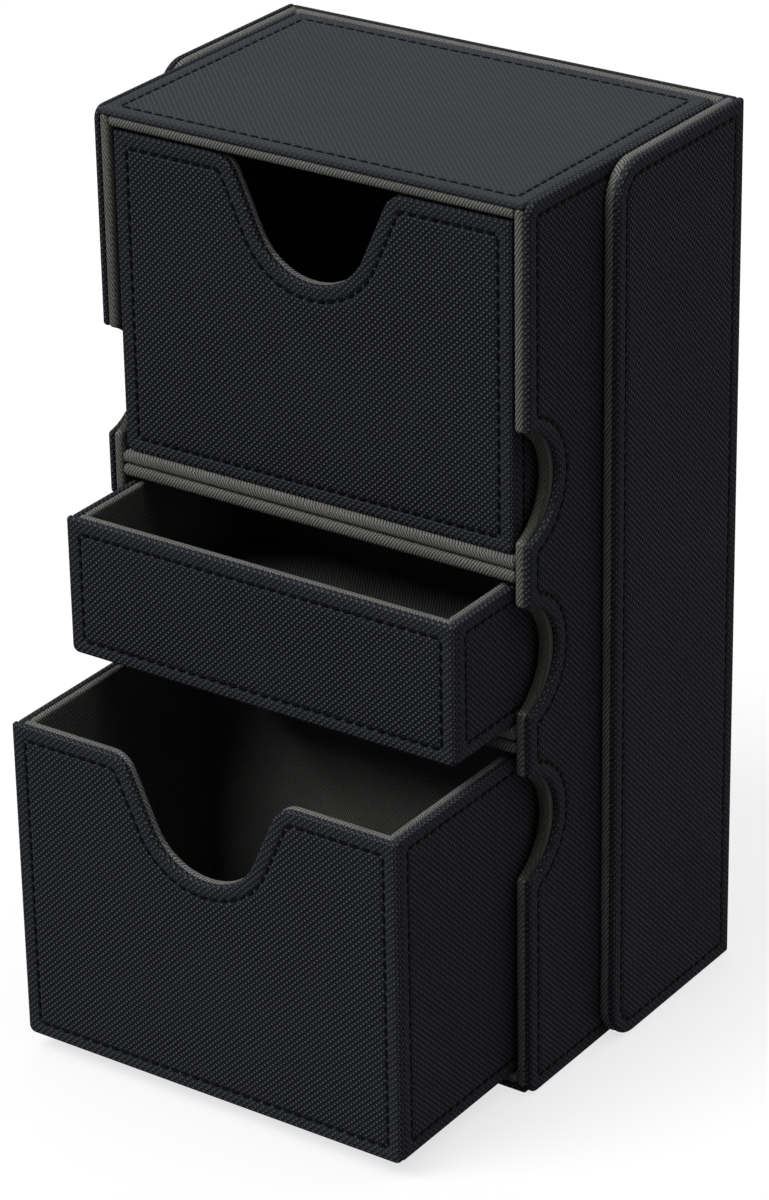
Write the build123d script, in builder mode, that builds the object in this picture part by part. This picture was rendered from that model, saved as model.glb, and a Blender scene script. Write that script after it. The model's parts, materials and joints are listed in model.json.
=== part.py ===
from build123d import *
from math import radians, tan
import os

# A trading card drawer box: an upright case of leatherette boards lined with suede boards, three
# drawers one above the other, and a U-shaped cover that is stored over the back of the case.
# Millimetres. The origin is the middle of the case's underside, +Z is up, the drawers open along -Y.

# Boards
shell_board = 1.6  # leatherette wrapped board of the case and the cover
lining_board = 2.5  # suede wrapped lining behind it
shelf_board = 3.3  # one of the two boards that make a shelf
drawer_board = 1.8  # leatherette wrapped board of a drawer
drawer_lining = 2.0  # suede wrapped lining of a drawer
edge_roll = 0.6  # radius of the fabric where it rolls over a board's edge

# Case
case_width = 116.0
case_depth = 77.5
case_corner_radius = 3.0  # corners of the side boards
lining_finger_radius = 14.2  # half-moon finger notches in the front edges of the side linings
lining_finger_depth = 9.2
board_finger_radius = 13.4  # deeper in the side boards, so that a rim of the lining shows
board_finger_depth = 11.8
finger_pitch = 42.0
finger_lip_radius = 0.9

# Drawers
top_drawer_height = 78.0
middle_drawer_height = 34.3
bottom_drawer_height = 82.0
side_play = 0.8  # between a drawer and each side lining
floor_play = 0.2  # under each drawer
top_head_play = 0.9  # above each drawer
middle_head_play = 1.2
bottom_head_play = 1.6
rear_play = 0.5  # behind a closed drawer
front_recess = 0.6  # a closed drawer stands this far behind the case's front edge
front_overlap = 0.3  # the front board stands this far out past the side boards
middle_drawer_pull = 23.4  # how far the drawers are pulled out
bottom_drawer_pull = 46.7

# Thumb notch in the fronts of the top and bottom drawers
notch_depth = 25.8
notch_radius = 15.4
notch_flank = 24.0  # degrees that the notch's flanks lean outwards
notch_shoulder_radius = 6.0
notch_floor = 0.4  # flat left at the middle of the notch's round bottom

# Cover
cover_play = 0.3  # between the cover and the case
cover_margin = 0.1  # the cover is this much shorter than the case at each end
wing_past_middle = 9.8  # the wings reach this far past the middle of the case's depth
wing_corner_radius = 9.0

# Magnets between the boards and the linings
magnet_radius = 5.0
magnet_thickness = 1.4
magnet_play = 0.1
magnet_from_end = 46.0  # from the case's underside and from its top

# Worked out from the sizes above
wall = shell_board + lining_board
shelf = 2 * shelf_board
drawer_wall = drawer_board + drawer_lining
drawer_width = case_width - 2 * (wall + side_play)
drawer_depth = case_depth - front_recess - wall - rear_play
bottom_drawer_z = wall + floor_play
lower_shelf_z = bottom_drawer_z + bottom_drawer_height + bottom_head_play
middle_drawer_z = lower_shelf_z + shelf + floor_play
upper_shelf_z = middle_drawer_z + middle_drawer_height + middle_head_play
top_drawer_z = upper_shelf_z + shelf + floor_play
case_height = top_drawer_z + top_drawer_height + top_head_play + wall
half_width = case_width / 2
half_depth = case_depth / 2
inner_half_width = half_width - wall
lining_back = half_depth - shell_board
shelf_back = half_depth - wall
finger_z = middle_drawer_z + middle_drawer_height / 2
closed_front = -half_depth + front_recess

os.makedirs("parts", exist_ok=True)


def save(piece, name):
    piece.part.label = name
    export_step(piece.part, f"parts/{name}.step")


def roll_edges(faces, thickness):
    # The fabric rolls over every edge of the two large faces.
    fillet(faces.edges(), radius=min(edge_roll, 0.4 * thickness))


def flat_board(name, axis, corner, far_corner):
    # A plain board between two opposite corners, thin along the axis.
    span = Vector(*far_corner) - Vector(*corner)
    size = {Axis.X: abs(span.X), Axis.Y: abs(span.Y), Axis.Z: abs(span.Z)}
    with BuildPart() as board:
        with Locations(Vector(*corner) + span / 2):
            Box(*size.values())
        large = board.faces().sort_by(axis)
        roll_edges(ShapeList([large[0], large[-1]]), size[axis])
    save(board, name)


def mirrored_board(right, name):
    with BuildPart() as board:
        mirror(right.part, about=Plane.YZ)
    save(board, name)


def magnet_places(x):
    # The magnets stand at the middle of the case's depth, so that they meet those of the cover
    # both when it is stored on the back and when it closes the front.
    return Locations(
        *[Plane((x, 0, z), x_dir=(0, 1, 0), z_dir=(1, 0, 0)) for z in magnet_heights]
    )


magnet_heights = (magnet_from_end, case_height - magnet_from_end)


# Side walls of the case, with a half-moon finger notch beside each drawer


def case_side(
    x, thickness, low_z, high_z, back_y, corner_radius, finger_radius, finger_depth
):
    with BuildPart() as side:
        with BuildSketch(Plane((x, 0, 0), x_dir=(0, 1, 0), z_dir=(1, 0, 0))) as outline:
            with Locations((-half_depth, low_z)):
                Rectangle(
                    back_y + half_depth, high_z - low_z, align=(Align.MIN, Align.MIN)
                )
            if corner_radius:
                fillet(outline.vertices(), radius=corner_radius)
            centre_y = -half_depth - finger_radius + finger_depth
            with Locations(
                *[(centre_y, finger_z + step * finger_pitch) for step in (-1, 0, 1)]
            ):
                Circle(finger_radius, mode=Mode.SUBTRACT)
            lips = [
                point
                for point in outline.vertices()
                if abs(point.X + half_depth) < 0.01
                and abs(point.Y - finger_z) < finger_pitch + finger_radius
            ]
            fillet(lips, radius=finger_lip_radius)
        extrude(amount=thickness)
        large = side.faces().filter_by(Axis.X).sort_by(Axis.X)
        roll_edges(ShapeList([large[0], large[-1]]), thickness)
    return side


case_right_board = case_side(
    half_width - shell_board,
    shell_board,
    0,
    case_height,
    half_depth,
    case_corner_radius,
    board_finger_radius,
    board_finger_depth,
)
save(case_right_board, "case_right_board")
mirrored_board(case_right_board, "case_left_board")

plain_side_lining = case_side(
    inner_half_width,
    lining_board,
    shell_board,
    case_height - shell_board,
    lining_back,
    0,
    lining_finger_radius,
    lining_finger_depth,
)
with BuildPart() as case_right_lining:
    add(plain_side_lining.part)
    with magnet_places(half_width - shell_board):
        Cylinder(
            magnet_radius + magnet_play,
            magnet_thickness + magnet_play,
            align=(Align.CENTER, Align.CENTER, Align.MAX),
            mode=Mode.SUBTRACT,
        )
save(case_right_lining, "case_right_lining")
mirrored_board(case_right_lining, "case_left_lining")

with BuildPart() as case_magnets:
    with magnet_places(half_width - shell_board):
        Cylinder(
            magnet_radius,
            magnet_thickness,
            align=(Align.CENTER, Align.CENTER, Align.MAX),
        )
    mirror(about=Plane.YZ)
save(case_magnets, "case_magnets")

# Top, bottom and back of the case, between the side boards

board_half_width = half_width - shell_board
for name, low_z in (("case_bottom", 0), ("case_top", case_height - shell_board)):
    flat_board(
        f"{name}_board",
        Axis.Z,
        (-board_half_width, -half_depth, low_z),
        (board_half_width, half_depth, low_z + shell_board),
    )
for name, low_z in (("case_bottom", shell_board), ("case_top", case_height - wall)):
    flat_board(
        f"{name}_lining",
        Axis.Z,
        (-inner_half_width, -half_depth, low_z),
        (inner_half_width, lining_back, low_z + lining_board),
    )
flat_board(
    "case_back_board",
    Axis.Y,
    (-board_half_width, lining_back, shell_board),
    (board_half_width, half_depth, case_height - shell_board),
)
flat_board(
    "case_back_lining",
    Axis.Y,
    (-inner_half_width, shelf_back, wall),
    (inner_half_width, lining_back, case_height - wall),
)

# Shelves, each of two suede wrapped boards back to back

for name, shelf_z in (("lower_shelf", lower_shelf_z), ("upper_shelf", upper_shelf_z)):
    for layer, low_z in (("bottom", shelf_z), ("top", shelf_z + shelf_board)):
        flat_board(
            f"{name}_{layer}_board",
            Axis.Z,
            (-inner_half_width, -half_depth, low_z),
            (inner_half_width, shelf_back, low_z + shelf_board),
        )


# Drawers


def drawer_front(y, thickness, width, low_z, high_z, notched):
    # The outer board or the lining of a drawer's front, in front of the plane at y.
    with BuildPart() as front:
        with BuildSketch(Plane((0, y, 0), x_dir=(1, 0, 0), z_dir=(0, -1, 0))) as outline:
            with Locations((0, low_z)):
                Rectangle(width, high_z - low_z, align=(Align.CENTER, Align.MIN))
            if notched:
                lean = tan(radians(notch_flank))
                foot = notch_radius / tan(radians(45 + notch_flank / 2)) + notch_floor / 2
                floor_z = high_z - notch_depth
                mouth = foot + notch_depth * lean
                with BuildLine():
                    Polyline(
                        (-mouth, high_z),
                        (-foot, floor_z),
                        (foot, floor_z),
                        (mouth, high_z),
                        close=True,
                    )
                make_face(mode=Mode.SUBTRACT)
                inside = [v for v in outline.vertices() if abs(v.X) < mouth + 0.01]
                fillet([v for v in inside if v.Y < high_z - 0.01], radius=notch_radius)
                inside = [v for v in outline.vertices() if abs(v.X) < mouth + 0.01]
                fillet(
                    [v for v in inside if v.Y > high_z - 0.01],
                    radius=notch_shoulder_radius,
                )
        extrude(amount=thickness)
        large = front.faces().filter_by(Axis.Y).sort_by(Axis.Y)
        roll_edges(ShapeList([large[0], large[-1]]), thickness)
    return front


def drawer(name, height, base_z, pull, notched):
    front_y = closed_front - pull
    back_y = front_y + drawer_depth
    top_z = base_z + height
    side_x = drawer_width / 2 - front_overlap
    board_x = side_x - drawer_board
    lining_x = side_x - drawer_wall
    board_y = front_y + drawer_board
    lining_y = front_y + drawer_wall

    front_board = drawer_front(
        board_y, drawer_board, drawer_width, base_z, top_z, notched
    )
    save(front_board, f"{name}_front_board")
    front_lining = drawer_front(
        lining_y, drawer_lining, 2 * board_x, base_z + drawer_board, top_z, notched
    )
    save(front_lining, f"{name}_front_lining")

    for side, sign in (("left", -1), ("right", 1)):
        flat_board(
            f"{name}_{side}_board",
            Axis.X,
            (sign * side_x, board_y, base_z),
            (sign * board_x, back_y, top_z),
        )
        flat_board(
            f"{name}_{side}_lining",
            Axis.X,
            (sign * board_x, lining_y, base_z + drawer_board),
            (sign * lining_x, back_y - drawer_wall, top_z),
        )
    flat_board(
        f"{name}_back_board",
        Axis.Y,
        (-board_x, back_y - drawer_board, base_z),
        (board_x, back_y, top_z),
    )
    flat_board(
        f"{name}_back_lining",
        Axis.Y,
        (-board_x, back_y - drawer_wall, base_z + drawer_board),
        (board_x, back_y - drawer_board, top_z),
    )
    flat_board(
        f"{name}_base_board",
        Axis.Z,
        (-board_x, board_y, base_z),
        (board_x, back_y - drawer_board, base_z + drawer_board),
    )
    flat_board(
        f"{name}_base_lining",
        Axis.Z,
        (-lining_x, lining_y, base_z + drawer_board),
        (lining_x, back_y - drawer_wall, base_z + drawer_wall),
    )


drawer("top_drawer", top_drawer_height, top_drawer_z, 0, True)
drawer(
    "middle_drawer", middle_drawer_height, middle_drawer_z, middle_drawer_pull, False
)
drawer("bottom_drawer", bottom_drawer_height, bottom_drawer_z, bottom_drawer_pull, True)

# Cover: a back and two wings with rounded front corners

cover_low_z = cover_margin
cover_high_z = case_height - cover_margin
cover_lining_x = half_width + cover_play
cover_board_x = cover_lining_x + lining_board
cover_lining_y = half_depth + cover_play
cover_board_y = cover_lining_y + lining_board
cover_back_y = cover_board_y + shell_board


def cover_wing(x, thickness, back_y):
    with BuildPart() as wing:
        with BuildSketch(Plane((x, 0, 0), x_dir=(0, 1, 0), z_dir=(1, 0, 0))) as outline:
            with Locations((-wing_past_middle, cover_low_z)):
                Rectangle(
                    back_y + wing_past_middle,
                    cover_high_z - cover_low_z,
                    align=(Align.MIN, Align.MIN),
                )
            fillet(outline.vertices().group_by(Axis.X)[0], radius=wing_corner_radius)
        extrude(amount=thickness)
        large = wing.faces().filter_by(Axis.X).sort_by(Axis.X)
        roll_edges(ShapeList([large[0], large[-1]]), thickness)
    return wing


cover_right_board = cover_wing(cover_board_x, shell_board, cover_back_y)
save(cover_right_board, "cover_right_board")
mirrored_board(cover_right_board, "cover_left_board")

plain_wing_lining = cover_wing(cover_lining_x, lining_board, cover_board_y)
with BuildPart() as cover_right_lining:
    add(plain_wing_lining.part)
    with magnet_places(cover_board_x):
        Cylinder(
            magnet_radius + magnet_play,
            magnet_thickness + magnet_play,
            align=(Align.CENTER, Align.CENTER, Align.MAX),
            mode=Mode.SUBTRACT,
        )
save(cover_right_lining, "cover_right_lining")
mirrored_board(cover_right_lining, "cover_left_lining")

with BuildPart() as cover_magnets:
    with magnet_places(cover_board_x):
        Cylinder(
            magnet_radius,
            magnet_thickness,
            align=(Align.CENTER, Align.CENTER, Align.MAX),
        )
    mirror(about=Plane.YZ)
save(cover_magnets, "cover_magnets")

flat_board(
    "cover_back_board",
    Axis.Y,
    (-cover_board_x, cover_board_y, cover_low_z),
    (cover_board_x, cover_back_y, cover_high_z),
)
flat_board(
    "cover_back_lining",
    Axis.Y,
    (-cover_lining_x, cover_lining_y, cover_low_z),
    (cover_lining_x, cover_board_y, cover_high_z),
)
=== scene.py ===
import json
from math import atan2, cos, pi, radians, sin, sqrt, tan

import bmesh
import bpy
from mathutils import Matrix, Vector

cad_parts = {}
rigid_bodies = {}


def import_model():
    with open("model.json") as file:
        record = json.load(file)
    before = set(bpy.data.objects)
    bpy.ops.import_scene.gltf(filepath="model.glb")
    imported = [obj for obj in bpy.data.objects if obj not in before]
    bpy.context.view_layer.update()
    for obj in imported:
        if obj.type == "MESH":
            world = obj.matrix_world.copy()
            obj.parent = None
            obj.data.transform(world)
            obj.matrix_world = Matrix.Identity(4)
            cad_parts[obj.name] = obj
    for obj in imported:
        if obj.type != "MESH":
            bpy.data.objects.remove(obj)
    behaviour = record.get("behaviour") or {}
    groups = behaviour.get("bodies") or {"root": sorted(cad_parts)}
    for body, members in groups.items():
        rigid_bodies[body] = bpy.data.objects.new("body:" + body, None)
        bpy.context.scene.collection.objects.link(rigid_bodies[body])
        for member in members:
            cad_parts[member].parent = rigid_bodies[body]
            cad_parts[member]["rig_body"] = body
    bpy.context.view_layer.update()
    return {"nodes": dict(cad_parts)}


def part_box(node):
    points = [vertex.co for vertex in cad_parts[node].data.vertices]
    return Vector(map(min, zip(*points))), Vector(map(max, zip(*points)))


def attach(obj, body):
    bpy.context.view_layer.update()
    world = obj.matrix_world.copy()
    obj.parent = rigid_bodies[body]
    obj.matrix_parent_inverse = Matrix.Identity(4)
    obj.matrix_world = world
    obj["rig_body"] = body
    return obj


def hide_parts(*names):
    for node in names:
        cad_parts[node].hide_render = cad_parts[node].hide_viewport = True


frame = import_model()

# A trading card drawer box. Boards wrapped in black woven leatherette, sewn round their edges,
# and lined with boards wrapped in grey suede. The boards are drawn in millimetres, lying flat,
# and then stood up where the CAD nodes are.

mm = 0.001
radiansPerMetre = 2 * pi / mm  # of a pattern that repeats once per mm
zUp = (0, 0, 1)

# the right and up directions of a board whose good side is seen from there
facing = {
    "front": ((1, 0, 0), (0, 0, 1)),
    "back": ((-1, 0, 0), (0, 0, 1)),
    "right": ((0, 1, 0), (0, 0, 1)),
    "left": ((0, -1, 0), (0, 0, 1)),
    "top": ((1, 0, 0), (0, 1, 0)),
    "bottom": ((1, 0, 0), (0, -1, 0)),
}


def newGroup(name, inputs, outputs):
    tree = bpy.data.node_groups.new(name, "ShaderNodeTree")
    for socketName, socketType, value in inputs:
        socket = tree.interface.new_socket(socketName, in_out="INPUT", socket_type=socketType)
        if value is not None:
            socket.default_value = value
    for socketName, socketType in outputs:
        tree.interface.new_socket(socketName, in_out="OUTPUT", socket_type=socketType)
    return tree, tree.nodes.new("NodeGroupInput"), tree.nodes.new("NodeGroupOutput")


def addNode(tree, kind, **values):
    node = tree.nodes.new(kind)
    for key, value in values.items():
        setattr(node, key, value)
    return node


def feed(tree, socket, value):
    if isinstance(value, bpy.types.NodeSocket):
        tree.links.new(value, socket)
    else:
        socket.default_value = value


def maths(tree, operation, *values):
    node = addNode(tree, "ShaderNodeMath", operation=operation)
    for socket, value in zip(node.inputs, values):
        feed(tree, socket, value)
    return node.outputs[0]


def mapRange(tree, value, low, high, toLow=0.0, toHigh=1.0):
    node = addNode(tree, "ShaderNodeMapRange")
    ends = {"From Min": low, "From Max": high, "To Min": toLow, "To Max": toHigh}
    for name, entry in {"Value": value, **ends}.items():
        feed(tree, node.inputs[name], entry)
    return node.outputs[0]


def mixColours(tree, factor, first, second):
    node = addNode(tree, "ShaderNodeMix", data_type="RGBA")
    feed(tree, node.inputs[0], factor)
    feed(tree, node.inputs[6], first)
    feed(tree, node.inputs[7], second)
    return node.outputs[2]


def noise(tree, vector, scale, detail=2.0, roughness=0.5):
    node = addNode(tree, "ShaderNodeTexNoise")
    feed(tree, node.inputs["Vector"], vector)
    feed(tree, node.inputs["Scale"], scale)
    feed(tree, node.inputs["Detail"], detail)
    feed(tree, node.inputs["Roughness"], roughness)
    return node.outputs["Fac"]


weave = {
    "knotsPerMm": 0.65,
    "rowJoin": 0.14,  # how high the cloth stays between two knots of a row
    "wobbleScale": 260.0,
    "wobble": 0.00022,  # how far the threads stray, in metres
    "knotFoot": 0.34,  # heights between which the gaps' look turns into the knots'
    "knotTop": 0.98,
}


def buildWeaveGroup(look):
    # rows of raised knots on a square lattice that stands on its corner, joined up along one
    # diagonal
    tree, put, out = newGroup(
        "weaveEmboss",
        [
            ("Vector", "NodeSocketVector", None),
            ("Knots per mm", "NodeSocketFloat", look["knotsPerMm"]),
            ("Row join", "NodeSocketFloat", look["rowJoin"]),
        ],
        [("Height", "NodeSocketFloat"), ("Knot", "NodeSocketFloat")],
    )
    wobble = addNode(tree, "ShaderNodeTexNoise")
    feed(tree, wobble.inputs["Vector"], put.outputs["Vector"])
    wobble.inputs["Scale"].default_value = look["wobbleScale"]
    shift = addNode(tree, "ShaderNodeVectorMath", operation="SCALE")
    feed(tree, shift.inputs[0], wobble.outputs["Color"])
    shift.inputs["Scale"].default_value = look["wobble"]
    moved = addNode(tree, "ShaderNodeVectorMath", operation="ADD")
    feed(tree, moved.inputs[0], put.outputs["Vector"])
    feed(tree, moved.inputs[1], shift.outputs[0])
    parts = addNode(tree, "ShaderNodeSeparateXYZ")
    feed(tree, parts.inputs[0], moved.outputs[0])
    perMetre = maths(tree, "MULTIPLY", put.outputs["Knots per mm"], radiansPerMetre)
    across = maths(tree, "MULTIPLY", parts.outputs["X"], perMetre)
    along = maths(tree, "MULTIPLY", parts.outputs["Y"], perMetre)
    rows = maths(tree, "COSINE", maths(tree, "SUBTRACT", across, along))
    knots = maths(tree, "COSINE", maths(tree, "ADD", across, along))
    rowHeight = mapRange(tree, rows, -1.0, 1.0)
    knotHeight = mapRange(tree, knots, -1.0, 1.0, put.outputs["Row join"], 1.0)
    height = maths(tree, "MULTIPLY", rowHeight, knotHeight)
    knot = mapRange(tree, height, look["knotFoot"], look["knotTop"])
    feed(tree, out.inputs["Height"], height)
    feed(tree, out.inputs["Knot"], knot)
    return tree


suedeRibs = {
    "ribsPerMm": 1.45,
    "nap": 0.5,
    "slant": (0.86, 0.5),  # the direction across the ribs
    "bendScale": 900.0,
    "bend": 4.5,  # how far the ribs stray, in radians of their own wave
    "fibreScale": 5200.0,
    "ribShare": 0.7,  # of the height, beside the nap's
}


def buildRibGroup(look):
    # the suede's fine slanting ribs, broken up by its nap
    tree, put, out = newGroup(
        "suedeRib",
        [
            ("Vector", "NodeSocketVector", None),
            ("Ribs per mm", "NodeSocketFloat", look["ribsPerMm"]),
            ("Nap", "NodeSocketFloat", look["nap"]),
        ],
        [("Height", "NodeSocketFloat"), ("Rib", "NodeSocketFloat")],
    )
    parts = addNode(tree, "ShaderNodeSeparateXYZ")
    feed(tree, parts.inputs[0], put.outputs["Vector"])
    perMetre = maths(tree, "MULTIPLY", put.outputs["Ribs per mm"], radiansPerMetre)
    acrossU, acrossV = look["slant"]
    slantU = maths(tree, "MULTIPLY", parts.outputs["X"], acrossU)
    slantV = maths(tree, "MULTIPLY", parts.outputs["Y"], acrossV)
    turns = maths(tree, "MULTIPLY", maths(tree, "ADD", slantU, slantV), perMetre)
    stray = noise(tree, put.outputs["Vector"], look["bendScale"], 3.0)
    bend = maths(tree, "MULTIPLY", stray, look["bend"])
    rib = mapRange(tree, maths(tree, "SINE", maths(tree, "ADD", turns, bend)), -1.0, 1.0)
    fibre = noise(tree, put.outputs["Vector"], look["fibreScale"], 2.0)
    nap = maths(tree, "MULTIPLY", maths(tree, "SUBTRACT", fibre, 0.5), put.outputs["Nap"])
    height = maths(tree, "ADD", maths(tree, "MULTIPLY", rib, look["ribShare"]), nap)
    feed(tree, out.inputs["Height"], height)
    feed(tree, out.inputs["Rib"], rib)
    return tree


handling = {
    "patchSize": 0.04,  # in metres
    "speckSize": 0.0006,
    "patchRange": (0.3, 0.7),  # the parts of the noises that show
    "speckRange": (0.74, 0.84),
}


def buildHandlingGroup(look):
    # soft patches where hands have touched the surface, and scarce specks of dust
    tree, put, out = newGroup(
        "handling",
        [
            ("Vector", "NodeSocketVector", None),
            ("Patch size", "NodeSocketFloat", look["patchSize"]),
            ("Speck size", "NodeSocketFloat", look["speckSize"]),
        ],
        [("Patches", "NodeSocketFloat"), ("Specks", "NodeSocketFloat")],
    )
    patchScale = maths(tree, "DIVIDE", 1.0, put.outputs["Patch size"])
    speckScale = maths(tree, "DIVIDE", 1.0, put.outputs["Speck size"])
    patches = noise(tree, put.outputs["Vector"], patchScale, 4.0, 0.6)
    specks = noise(tree, put.outputs["Vector"], speckScale, 1.0)
    feed(tree, out.inputs["Patches"], mapRange(tree, patches, *look["patchRange"]))
    feed(tree, out.inputs["Specks"], mapRange(tree, specks, *look["speckRange"]))
    return tree


weaveGroup = buildWeaveGroup(weave)
ribGroup = buildRibGroup(suedeRibs)
handlingGroup = buildHandlingGroup(handling)
print("stage: node groups ready")


def useGroup(tree, group, vector, **values):
    # an input's name is given with underscores for its spaces
    node = addNode(tree, "ShaderNodeGroup", node_tree=group)
    feed(tree, node.inputs["Vector"], vector)
    for name, value in values.items():
        feed(tree, node.inputs[name.replace("_", " ")], value)
    return node


def newMaterial(name):
    material = bpy.data.materials.new(name)
    material.use_nodes = True
    tree = material.node_tree
    shader = tree.nodes["Principled BSDF"]
    return material, tree, shader


def clothMap(tree):
    return addNode(tree, "ShaderNodeUVMap", uv_map="cloth").outputs["UV"]


def pieceAttribute(tree, name):
    node = addNode(tree, "ShaderNodeAttribute", attribute_name=name, attribute_type="GEOMETRY")
    return node.outputs["Fac"]


def addBump(tree, shader, height, distance):
    bump = addNode(tree, "ShaderNodeBump")
    bump.inputs["Distance"].default_value = distance
    feed(tree, bump.inputs["Height"], height)
    feed(tree, shader.inputs["Normal"], bump.outputs[0])


def between(tree, mask, ends):
    # a mask from 0 to 1 turned into a value between two ends
    return mapRange(tree, mask, 0.0, 1.0, *ends)


leatherette = {
    # knots painted lighter and gaps darker: painted highlight on the raised knots, painted shade
    # in the gaps
    "knotColour": (0.134, 0.138, 0.154, 1),
    "gapColour": (0.0118, 0.0124, 0.0152, 1),
    "hemColour": (0.036, 0.038, 0.043, 1),
    "hemShade": 0.85,  # how far the knots are pressed flat in the hem outside the seam
    "knotRoughness": 0.46,
    "gapRoughness": 0.72,
    "specular": 0.02,
    "embossDepth": 0.00042,
    "wear": (0.0, 0.22),  # how far the patches take on the hem's colour
    "roughnessChange": (-0.03, 0.05),  # and how they change the roughness
    "dust": 0.06,
    "dustColour": (0.2, 0.2, 0.2, 1),
}
# the top of the case gets a lit copy whose knots and gaps differ less: painted overhead light
topLitLeatherette = {
    **leatherette,
    "knotColour": (0.068, 0.073, 0.082, 1),
    "gapColour": (0.031, 0.0335, 0.0385, 1),
    "embossDepth": 0.0002,
}


def buildLeatherette(look, name):
    material, tree, shader = newMaterial(name)
    cloth = clothMap(tree)
    emboss = useGroup(tree, weaveGroup, cloth)
    touch = useGroup(tree, handlingGroup, cloth)
    patches = touch.outputs["Patches"]
    # painted highlight on the knots and painted shade in the gaps between them
    colour = mixColours(tree, emboss.outputs["Knot"], look["gapColour"], look["knotColour"])
    worn = mixColours(tree, between(tree, patches, look["wear"]), colour, look["hemColour"])
    hem = maths(tree, "MULTIPLY", pieceAttribute(tree, "hem"), look["hemShade"])
    hemmed = mixColours(tree, hem, worn, look["hemColour"])
    dust = maths(tree, "MULTIPLY", touch.outputs["Specks"], look["dust"])
    feed(tree, shader.inputs["Base Color"], mixColours(tree, dust, hemmed, look["dustColour"]))
    rough = between(tree, emboss.outputs["Knot"], (look["gapRoughness"], look["knotRoughness"]))
    change = between(tree, patches, look["roughnessChange"])
    feed(tree, shader.inputs["Roughness"], maths(tree, "ADD", rough, change))
    shader.inputs["Specular IOR Level"].default_value = look["specular"]
    addBump(tree, shader, emboss.outputs["Height"], look["embossDepth"])
    return material


suede = {
    "ribColour": (0.245, 0.241, 0.232, 1),
    "valleyColour": (0.042, 0.041, 0.039, 1),
    "notchShadeColour": (0.030, 0.030, 0.023, 1),  # painted shade on the rims of the finger notches
    # how far the notch rims take on the painted shade
    "notchShadeStrength": 0.75,
    "roughness": 0.95,
    "specular": 0.02,
    "sheen": 0.02,
    "ribDepth": 0.00012,
    "patchSize": 0.018,
    "brushed": (0.0, 0.35),  # how far the patches darken the nap
}


def buildSuede(look):
    material, tree, shader = newMaterial("greySuede")
    cloth = clothMap(tree)
    ribs = useGroup(tree, ribGroup, cloth)
    touch = useGroup(tree, handlingGroup, cloth, Patch_size=look["patchSize"])
    colour = mixColours(tree, ribs.outputs["Rib"], look["valleyColour"], look["ribColour"])
    nap = between(tree, touch.outputs["Patches"], look["brushed"])
    brushed = mixColours(tree, nap, colour, look["valleyColour"])
    # painted shade on the rims of the finger notches, read from the hem attribute
    notchShaded = maths(tree, "MULTIPLY", pieceAttribute(tree, "hem"), look["notchShadeStrength"])
    darkened = mixColours(tree, notchShaded, brushed, look["notchShadeColour"])
    feed(tree, shader.inputs["Base Color"], darkened)
    shader.inputs["Roughness"].default_value = look["roughness"]
    shader.inputs["Specular IOR Level"].default_value = look["specular"]
    shader.inputs["Sheen Weight"].default_value = look["sheen"]
    addBump(tree, shader, ribs.outputs["Height"], look["ribDepth"])
    return material


thread = {
    "colour": (0.0012, 0.0013, 0.0015, 1),
    "plyColour": (0.006, 0.0064, 0.007, 1),
    "roughness": 0.6,
    "specular": 0.02,
    "plyScale": 900.0,
    "plyDistortion": 1.5,
    "plyDepth": 0.00006,
}


def buildThread(look):
    material, tree, shader = newMaterial("blackThread")
    ply = addNode(tree, "ShaderNodeTexWave", wave_type="BANDS", bands_direction="DIAGONAL")
    ply.inputs["Scale"].default_value = look["plyScale"]
    ply.inputs["Distortion"].default_value = look["plyDistortion"]
    feed(tree, ply.inputs["Vector"], addNode(tree, "ShaderNodeTexCoord").outputs["Object"])
    colour = mixColours(tree, ply.outputs["Fac"], look["colour"], look["plyColour"])
    feed(tree, shader.inputs["Base Color"], colour)
    shader.inputs["Roughness"].default_value = look["roughness"]
    shader.inputs["Specular IOR Level"].default_value = look["specular"]
    addBump(tree, shader, ply.outputs["Fac"], look["plyDepth"])
    return material


magnetSteel = {
    "colour": (0.52, 0.53, 0.55, 1),
    "rubbedColour": (0.36, 0.37, 0.39, 1),
    "roughness": (0.32, 0.5),  # where it is plated, and where it is rubbed
    "patchSize": 0.003,
}


def buildSteel(look):
    material, tree, shader = newMaterial("magnetSteel")
    place = addNode(tree, "ShaderNodeTexCoord").outputs["Object"]
    touch = useGroup(tree, handlingGroup, place, Patch_size=look["patchSize"])
    patches = touch.outputs["Patches"]
    colour = mixColours(tree, patches, look["colour"], look["rubbedColour"])
    feed(tree, shader.inputs["Base Color"], colour)
    feed(tree, shader.inputs["Roughness"], between(tree, patches, look["roughness"]))
    shader.inputs["Metallic"].default_value = 1.0
    return material


leatheretteMaterial = buildLeatherette(leatherette, "wovenLeatherette")
topLitMaterial = buildLeatherette(topLitLeatherette, "topLitLeatherette")
suedeMaterial = buildSuede(suede)
threadMaterial = buildThread(thread)
steelMaterial = buildSteel(magnetSteel)
print("stage: materials ready")

# the outlines of the boards, in millimetres
thumbNotch = {
    "depth": 25.8,
    "radius": 15.4,
    "flank": radians(24.0),
    "shoulder": 6.0,
    "floor": 0.4,
    "steps": 14,
    "shoulderSteps": 8,
}
fingerNotch = {
    "liningRadius": 14.2,
    "liningDepth": 9.2,
    "boardRadius": 13.4,
    "boardDepth": 11.8,
    "pitch": 42.0,
    "middle": 111.85,
    "lip": 0.9,
    "steps": 26,
    "lipSteps": 6,
}
outline = {
    "sharpest": 0.25,  # the smallest radius that the cloth turns a corner with
    "kneeLength": 0.75,  # a step between two points of one sharp corner is shorter than this
    "steps": 6,
    "wide": 5.0,  # a corner with a larger radius than this gets more steps
    "wideSteps": 12,
    "notchShadeReach": 1.5,  # how far from the edge the suede's notch rims get painted shade
    "mergeDistance": 1e-4,
}


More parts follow.
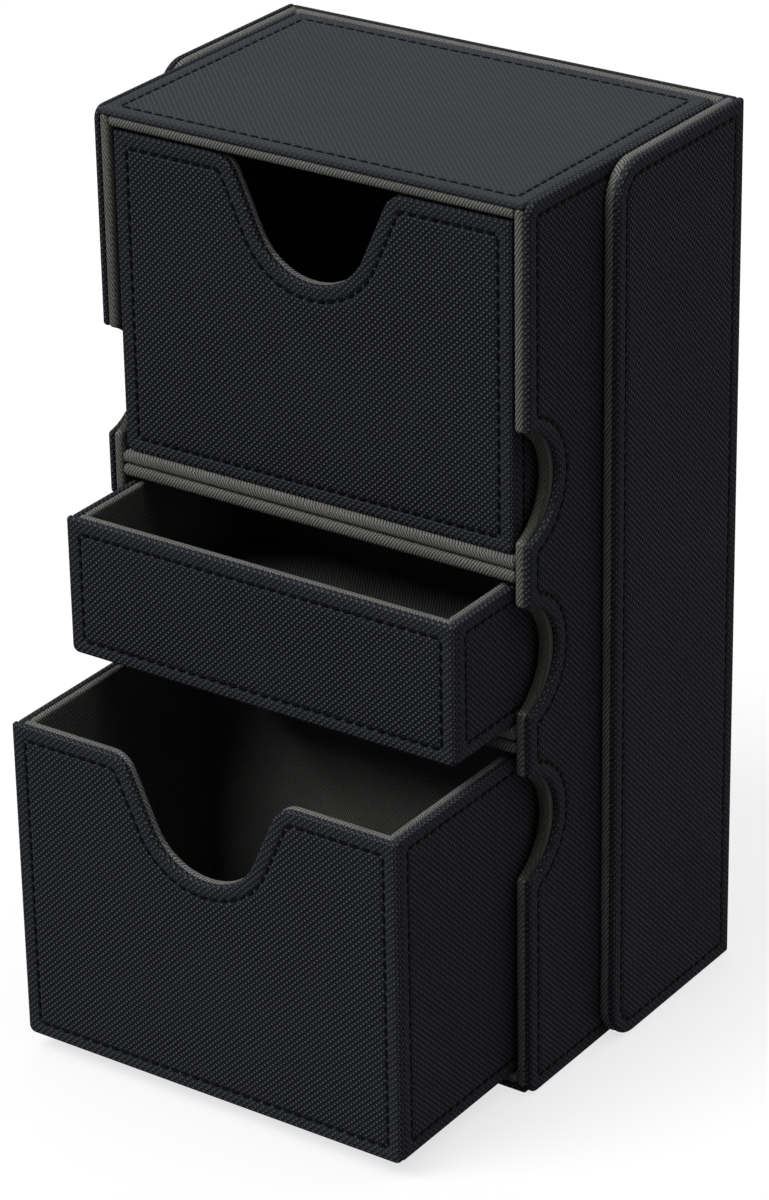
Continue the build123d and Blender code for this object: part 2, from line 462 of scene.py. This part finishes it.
def thumbNotchCorners(high, inset):
    # from right to left along the top edge, which is already lowered by the inset
    cut = thumbNotch
    lean = tan(cut["flank"])
    slip = inset / cos(cut["flank"])
    foot = cut["radius"] / tan(radians(45) + cut["flank"] / 2) + cut["floor"] / 2
    mouthAt = foot + (cut["depth"] - inset) * lean + slip
    footAt = foot - inset * lean + slip
    low = high - cut["depth"]
    shoulder = max(cut["shoulder"] - inset, outline["sharpest"])
    return [
        (mouthAt, high, shoulder, cut["shoulderSteps"]),
        (footAt, low, cut["radius"] + inset, cut["steps"]),
        (-footAt, low, cut["radius"] + inset, cut["steps"]),
        (-mouthAt, high, shoulder, cut["shoulderSteps"]),
    ]


def fingerNotchCorners(edge, inward, middle, inset, layer):
    # a lip, the point where the tangents at the lips meet, and the other lip
    cut = fingerNotch
    radius = cut[layer + "Radius"] + inset
    lip = max(cut["lip"] - inset, outline["sharpest"])
    outside = radius - cut[layer + "Depth"]  # how far the notch's centre is outside the edge
    rise = outside + lip
    run = sqrt((radius + lip) ** 2 - rise**2)
    touchAlong = radius * run / (radius + lip)
    touchIn = radius * rise / (radius + lip) - outside
    lipAlong = touchAlong + touchIn * rise / run
    meetIn = touchIn + touchAlong * run / rise
    return [
        (edge, middle + inward * lipAlong, lip, cut["lipSteps"]),
        (edge + inward * meetIn, middle, radius, cut["steps"]),
        (edge, middle - inward * lipAlong, lip, cut["lipSteps"]),
    ]


def boardCorners(board, inset):
    # anticlockwise from the lower left, each with its radius and the steps in its arc
    layer = "lining" if board["lining"] else "board"
    halfU = board["width"] / 2 - inset
    halfV = board["height"] / 2 - inset
    lowLeft, lowRight, highRight, highLeft = [
        (
            max(radius - inset, outline["sharpest"]),
            outline["wideSteps"] if radius > outline["wide"] else outline["steps"],
        )
        for radius in board["corners"]
    ]
    corners = [(-halfU, -halfV, *lowLeft), (halfU, -halfV, *lowRight)]
    if board["fingers"] == "right":
        for middle in board["notches"]:
            corners += fingerNotchCorners(halfU, -1, middle, inset, layer)
    corners.append((halfU, halfV, *highRight))
    if board["thumb"]:
        corners += thumbNotchCorners(halfV, inset)
    corners.append((-halfU, halfV, *highLeft))
    if board["fingers"] == "left":
        for middle in reversed(board["notches"]):
            corners += fingerNotchCorners(-halfU, 1, middle, inset, layer)
    return corners


def newDrawing():
    # hem is how far the leatherette is pressed flat, and on suede it marks the notch rims that
    # get painted shade, and knee marks the points of the sharp corners
    bm = bmesh.new()
    bm.verts.layers.float.new("hem")
    bm.verts.layers.int.new("knee")
    return bm


def drawRing(board, inset, height, hem=0.0):
    # a closed ring of edges: each corner is a vertex spun round the centre of its arc
    bm = newDrawing()
    hemAndNotchShadeLayer = bm.verts.layers.float["hem"]
    kneeLayer = bm.verts.layers.int["knee"]
    corners = boardCorners(board, inset)
    places = [Vector(entry[:2]) for entry in corners]
    ends = []
    for index, (*_, radius, steps) in enumerate(corners):
        here = places[index]
        arrive = (here - places[index - 1]).normalized()
        leave = (places[(index + 1) % len(places)] - here).normalized()
        turn = atan2(arrive.x * leave.y - arrive.y * leave.x, arrive.dot(leave))
        start = here - arrive * radius * tan(abs(turn) / 2)
        centre = start + Vector((-arrive.y, arrive.x)) * radius * (1 if turn > 0 else -1)
        first = bmesh.ops.create_vert(bm, co=(*start, height))["vert"][0]
        # the suede's rims round the finger notches are marked for painted shade
        onNotch = board["fingers"] and radius >= fingerNotch["liningRadius"]
        notchShaded = board["lining"] and onNotch and inset < outline["notchShadeReach"]
        first[hemAndNotchShadeLayer] = 1.0 if notchShaded else hem
        first[kneeLayer] = int(radius <= outline["sharpest"])
        spun = bmesh.ops.spin(
            bm,
            geom=[first],
            cent=(*centre, height),
            axis=zUp,
            angle=turn,
            steps=steps,
            space=Matrix(),
        )
        ends.append((first, spun["geom_last"][0]))
    for index, (first, _) in enumerate(ends):
        bm.edges.new((ends[index - 1][1], first))
    bmesh.ops.remove_doubles(bm, verts=bm.verts, dist=outline["mergeDistance"])
    return bm


def addDrawing(bm, drawing):
    # carries a small drawing over into a larger one, and returns the edges it brought
    carrier = bpy.data.meshes.new("carrier")
    drawing.to_mesh(carrier)
    drawing.free()
    known = len(bm.edges)
    bm.from_mesh(carrier)
    bpy.data.meshes.remove(carrier)
    bm.edges.ensure_lookup_table()
    return bm.edges[known:]


wrappedBoard = {
    "goodRim": 0.8,  # radius of the cloth over the edge on the good side
    "hiddenRim": 0.45,
    "rimSteps": 4,
    "rimHem": 0.3,
    # inset from the edge, height over the face, and how far the cloth is pressed flat there
    "sewnFace": [
        (1.5, 0.0, 0.45),
        (2.5, -0.03, 0.55),
        (3.0, -0.12, 0.55),
        (3.3, -0.34, 0.4),
        (3.9, -0.34, 0.4),
        (4.2, -0.13, 0.3),
        (4.8, -0.05, 0.1),
        (5.6, -0.04, 0.0),
        (6.4, -0.04, 0.0),
    ],
}
liningBoard = {
    "rim": 0.42,  # as a share of the thickness
    "rimSteps": 5,
    "rimHem": 0.0,
    "face": [(1.6, 0.0, 0.0), (2.2, 0.0, 0.0)],
}
hiddenStrip = 0.5  # the outermost strip of a hidden face
ringGap = 1.0  # rings that lie in one plane would be joined up wrongly, so they are spread first


def boardRings(board):
    # inset, height and hem shade of every ring, from the hidden face round the edge to the good
    # face
    thick = board["thick"]
    if board["lining"]:
        kind, face = liningBoard, liningBoard["face"]
        goodRim = hiddenRim = liningBoard["rim"] * thick
    else:
        kind, face = wrappedBoard, wrappedBoard["sewnFace"]
        goodRim, hiddenRim = wrappedBoard["goodRim"], wrappedBoard["hiddenRim"]
    steps, rimHem = kind["rimSteps"], kind["rimHem"]
    angles = [pi / 2 * step / steps for step in range(steps + 1)]
    rings = [(hiddenRim + hiddenStrip, 0.0, rimHem)]
    for angle in angles:
        rings.append((hiddenRim * (1 - sin(angle)), hiddenRim * (1 - cos(angle)), rimHem))
    for angle in angles:
        rings.append((goodRim * (1 - cos(angle)), thick - goodRim * (1 - sin(angle)), rimHem))
    return rings + [(inset, thick + drop, hem) for inset, drop, hem in face]


def layCloth(bm):
    # the cloth map, in metres: each face is seen square on, and the map carries on over the rims
    cloth = bm.loops.layers.uv.new("cloth")
    bm.normal_update()
    for face in bm.faces:
        across, along, out = (abs(part) for part in face.normal)
        for loop in face.loops:
            place = loop.vert.co
            if out >= max(across, along):
                loop[cloth].uv = (place.x * mm, place.y * mm)
            elif across >= along:
                loop[cloth].uv = (place.z * mm, place.y * mm)
            else:
                loop[cloth].uv = (place.x * mm, place.z * mm)


def standUp(board):
    # turns the flat drawing to face its way and carries it to its node's place
    across, up = (Vector(direction) for direction in facing[board["facing"]])
    out = across.cross(up)
    turned = Matrix((across, up, out)).transposed().to_4x4()
    return Matrix.Translation(board["foot"]) @ turned @ Matrix.Scale(mm, 4)


def finishPiece(bm, board, name, material):
    # stands a flat drawing up, and makes it a piece that rides with its board's body
    bmesh.ops.transform(bm, matrix=standUp(board), verts=bm.verts)
    for face in bm.faces:
        face.smooth = True
    for layer in bm.verts.layers.int.values():
        bm.verts.layers.int.remove(layer)
    mesh = bpy.data.meshes.new(name)
    bm.to_mesh(mesh)
    bm.free()
    mesh.materials.append(material)
    piece = bpy.data.objects.new(name, mesh)
    bpy.context.scene.collection.objects.link(piece)
    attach(piece, board["body"])
    return piece


def spreadRings(bm, rings, step):
    for level, ring in enumerate(rings):
        points = list({point for edge in ring for point in edge.verts})
        bmesh.ops.translate(bm, vec=(0, 0, level * step), verts=points)


def makeBoard(board):
    bm = newDrawing()
    rings = [addDrawing(bm, drawRing(board, *ring)) for ring in boardRings(board)]
    spreadRings(bm, rings, ringGap)
    for lower, upper in zip(rings, rings[1:]):
        bmesh.ops.bridge_loops(bm, edges=lower + upper)
    spreadRings(bm, rings, -ringGap)
    bmesh.ops.edgeloop_fill(bm, edges=rings[0])
    bmesh.ops.edgeloop_fill(bm, edges=rings[-1])
    bmesh.ops.recalc_face_normals(bm, faces=bm.faces)
    layCloth(bm)
    material = suedeMaterial if board["lining"] else leatheretteMaterial
    # the top board gets the leatherette copy with painted overhead light
    if board["node"] == "case_top_board":
        material = topLitMaterial
    piece = finishPiece(bm, board, board["node"] + "_cloth", material)
    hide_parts(board["node"])


seam = {
    "inset": 3.6,
    "pitch": 2.9,
    "stitchLength": 2.3,
    "stitchWidth": 1.1,
    "stitchHeight": 0.56,
    "sink": 0.24,  # the thread's middle lies this far under the board's face
    "slant": radians(5),
    "segments": 6,
    "rings": 5,
}


def walkRing(ring):
    # the ring's points in order, from a sharp corner round to it again, cut into runs at the
    # sharp corners
    kneeLayer = ring.verts.layers.int["knee"]
    point = next((point for point in ring.verts if point[kneeLayer]), ring.verts[:][0])
    edge = point.link_edges[0]
    order = [point]
    while len(order) <= len(ring.verts):
        point = edge.other_vert(point)
        order.append(point)
        edge = next(other for other in point.link_edges if other is not edge)
    runs, run = [], []
    for before, after in zip(order, order[1:]):
        step = (before.co - after.co).length
        if before[kneeLayer] and after[kneeLayer] and step < outline["kneeLength"]:
            if run:
                runs.append(run)
            run = []
        else:
            run = (run or [before.co.copy()]) + [after.co.copy()]
    return runs + [run] if run else runs


def alongRun(run, distance):
    # the place at that distance along the run, and the run's direction there
    for before, after in zip(run, run[1:]):
        step = (after - before).length
        if distance <= step and step > 0:
            return before.lerp(after, distance / step), (after - before).normalized()
        distance -= step
    return run[-1], (run[-1] - run[-2]).normalized()


def drawStitch():
    bm = bmesh.new()
    bmesh.ops.create_uvsphere(
        bm,
        u_segments=seam["segments"],
        v_segments=seam["rings"],
        radius=0.5,
        matrix=Matrix.Rotation(pi / 2, 4, "Y"),
    )
    size = (seam["stitchLength"], seam["stitchWidth"], seam["stitchHeight"])
    bmesh.ops.scale(bm, vec=size, verts=bm.verts)
    mesh = bpy.data.meshes.new("stitch")
    bm.to_mesh(mesh)
    bm.free()
    return mesh


stitchMesh = drawStitch()


def sewBoard(board):
    # one stitch after another along each run, stretched a little so that they fill it
    guide = drawRing(board, seam["inset"], board["thick"] - seam["sink"])
    runs = walkRing(guide)
    guide.free()
    bm = bmesh.new()
    for run in runs:
        length = sum((after - before).length for before, after in zip(run, run[1:]))
        count = max(round(length / seam["pitch"]), 1)
        stretch = Matrix.Scale(length / count / seam["pitch"], 4, (1, 0, 0))
        for index in range(count):
            place, direction = alongRun(run, length * (index + 0.5) / count)
            turned = Matrix.Rotation(atan2(direction.y, direction.x) + seam["slant"], 4, "Z")
            stitch = stitchMesh.copy()
            stitch.transform(Matrix.Translation(place) @ turned @ stretch)
            bm.from_mesh(stitch)
            bpy.data.meshes.remove(stitch)
    piece = finishPiece(bm, board, board["node"].replace("_board", "_seam"), threadMaterial)


opposite = {"front": "back", "left": "right", "top": "bottom"}
opposite.update({other: side for side, other in opposite.items()})
cornerRadii = {
    "caseSide": 3.0,
    "coverWing": 9.0,
    "drawerFront": 1.8,
    "drawerFrontTop": 0.6,
    "plain": 0.7,
    "lining": 0.6,
}


def describeBoard(node):
    # a board's size and place are read from its CAD node, and the rest from the node's name
    lowest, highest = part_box(node)
    size = (highest - lowest) / mm
    middle = (highest + lowest) / 2
    words = node.split("_")
    side = "bottom" if words[-2] == "base" else words[-2]
    lining = words[-1] == "lining"
    faces = opposite[side] if lining else side
    across, up = (Vector(direction) for direction in facing[faces])
    out = across.cross(up)
    thick = abs(size.dot(out))
    upright = side in ("left", "right")
    caseSide = words[0] == "case" and upright
    drawerFront = "drawer" in words and side == "front"
    frontEdge = opposite[faces] if upright else None  # of a side board, seen from its good side
    radius = cornerRadii["lining" if lining else "plain"]
    corners = [radius] * 4
    if words[0] == "cover" and upright:
        large = cornerRadii["coverWing"]
        corners = [large, radius, radius, large]
        if frontEdge == "right":
            corners = [radius, large, large, radius]
    elif caseSide and not lining:
        corners = [cornerRadii["caseSide"]] * 4
    elif drawerFront and not lining:
        low, high = cornerRadii["drawerFront"], cornerRadii["drawerFrontTop"]
        corners = [low, low, high, high]
    notchHeights = [fingerNotch["middle"] + step * fingerNotch["pitch"] for step in (-1, 0, 1)]
    return {
        "node": node,
        "body": frame["nodes"][node]["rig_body"],
        "facing": faces,
        "lining": lining or "shelf" in words,
        "width": abs(size.dot(across)),
        "height": abs(size.dot(up)),
        "thick": thick,
        "foot": middle - out * thick / 2 * mm,
        "corners": corners,
        "thumb": drawerFront and words[0] != "middle",
        "fingers": frontEdge if caseSide else None,
        "notches": [notchHeight - middle.z / mm for notchHeight in notchHeights],
    }


for node in sorted(frame["nodes"]):
    if node.endswith("magnets"):
        shown = frame["nodes"][node]
        shown.data.materials.clear()
        shown.data.materials.append(steelMaterial)
        continue
    board = describeBoard(node)
    makeBoard(board)
    if not board["lining"]:
        sewBoard(board)
print("stage: boards and seams ready")

studio = {
    "floorSize": 12.0,
    "floorColour": (0.27, 0.27, 0.27, 1),  # as the camera and reflections see it
    "bounceColour": (0.22, 0.22, 0.22, 1),  # as it lights the box
    "floorGlow": 0.72,  # share of the seen floor that is plain white, so that shadows stay faint
    "floorRoughness": 0.9,
    "skyLight": 0.06,
    "lampDistance": 1.5,
    "lamps": [  # name, strength, softness, azimuth from the front towards the left, elevation
        ("overhead", 1.75, 80, -160, 78),
        ("key", 2.45, 35, 28, 50),
    ],
}

floorMesh = bpy.data.meshes.new("studioFloor")
floorDrawing = bmesh.new()
bmesh.ops.create_grid(floorDrawing, x_segments=1, y_segments=1, size=studio["floorSize"] / 2)
floorDrawing.to_mesh(floorMesh)
floorDrawing.free()
floor = bpy.data.objects.new("studioFloor", floorMesh)
bpy.context.scene.collection.objects.link(floor)


def seenRays(tree):
    # 1 where the camera, a reflection or glass looks
    path = addNode(tree, "ShaderNodeLightPath")
    direct = maths(tree, "MAXIMUM", path.outputs["Is Camera Ray"], path.outputs["Is Glossy Ray"])
    return maths(tree, "MAXIMUM", direct, path.outputs["Is Transmission Ray"])


floorMaterial, floorTree, floorShader = newMaterial("paleFloor")
seen = seenRays(floorTree)
floorColour = mixColours(floorTree, seen, studio["bounceColour"], studio["floorColour"])
feed(floorTree, floorShader.inputs["Base Color"], floorColour)
floorGlow = maths(floorTree, "MULTIPLY", seen, studio["floorGlow"])
feed(floorTree, floorShader.inputs["Emission Strength"], floorGlow)
floorShader.inputs["Emission Color"].default_value = (1, 1, 1, 1)
floorShader.inputs["Roughness"].default_value = studio["floorRoughness"]
floorShader.inputs["Specular IOR Level"].default_value = 0.0
floorMesh.materials.append(floorMaterial)

world = bpy.data.worlds.new("studioWorld")
world.use_nodes = True
sky = world.node_tree
background = sky.nodes["Background"]
background.inputs["Color"].default_value = (1, 1, 1, 1)
feed(sky, background.inputs["Strength"], between(sky, seenRays(sky), (studio["skyLight"], 1.0)))
bpy.context.scene.world = world

for name, strength, softness, azimuth, elevation in studio["lamps"]:
    lampData = bpy.data.lights.new(name, "SUN")
    lampData.energy = strength
    lampData.angle = radians(softness)
    lamp = bpy.data.objects.new(name, lampData)
    turn, lift = radians(azimuth), radians(elevation)
    towards = Vector((-sin(turn) * cos(lift), -cos(turn) * cos(lift), sin(lift)))
    lamp.rotation_euler = towards.to_track_quat("Z", "Y").to_euler()
    lamp.location = towards * studio["lampDistance"]
    bpy.context.scene.collection.objects.link(lamp)

view = {
    "sensor": 36,
    "lens": 136.85,
    "clip": (0.01, 50),
    "azimuth": radians(34.955),
    "elevation": radians(26.048),
    "roll": radians(-1.019),
    "place": (0.54583, -0.79213, 0.56685),
}
cameraData = bpy.data.cameras.new("camera")
cameraData.sensor_width = view["sensor"]
cameraData.lens = view["lens"]
cameraData.clip_start, cameraData.clip_end = view["clip"]
camera = bpy.data.objects.new("camera", cameraData)
camera.matrix_world = (
    Matrix.Translation(view["place"])
    @ Matrix.Rotation(view["azimuth"], 4, "Z")
    @ Matrix.Rotation(pi / 2 - view["elevation"], 4, "X")
    @ Matrix.Rotation(view["roll"], 4, "Z")
)
bpy.context.scene.collection.objects.link(camera)
bpy.context.scene.camera = camera
bpy.context.scene.view_settings.view_transform = "Standard"
print("stage: studio ready")
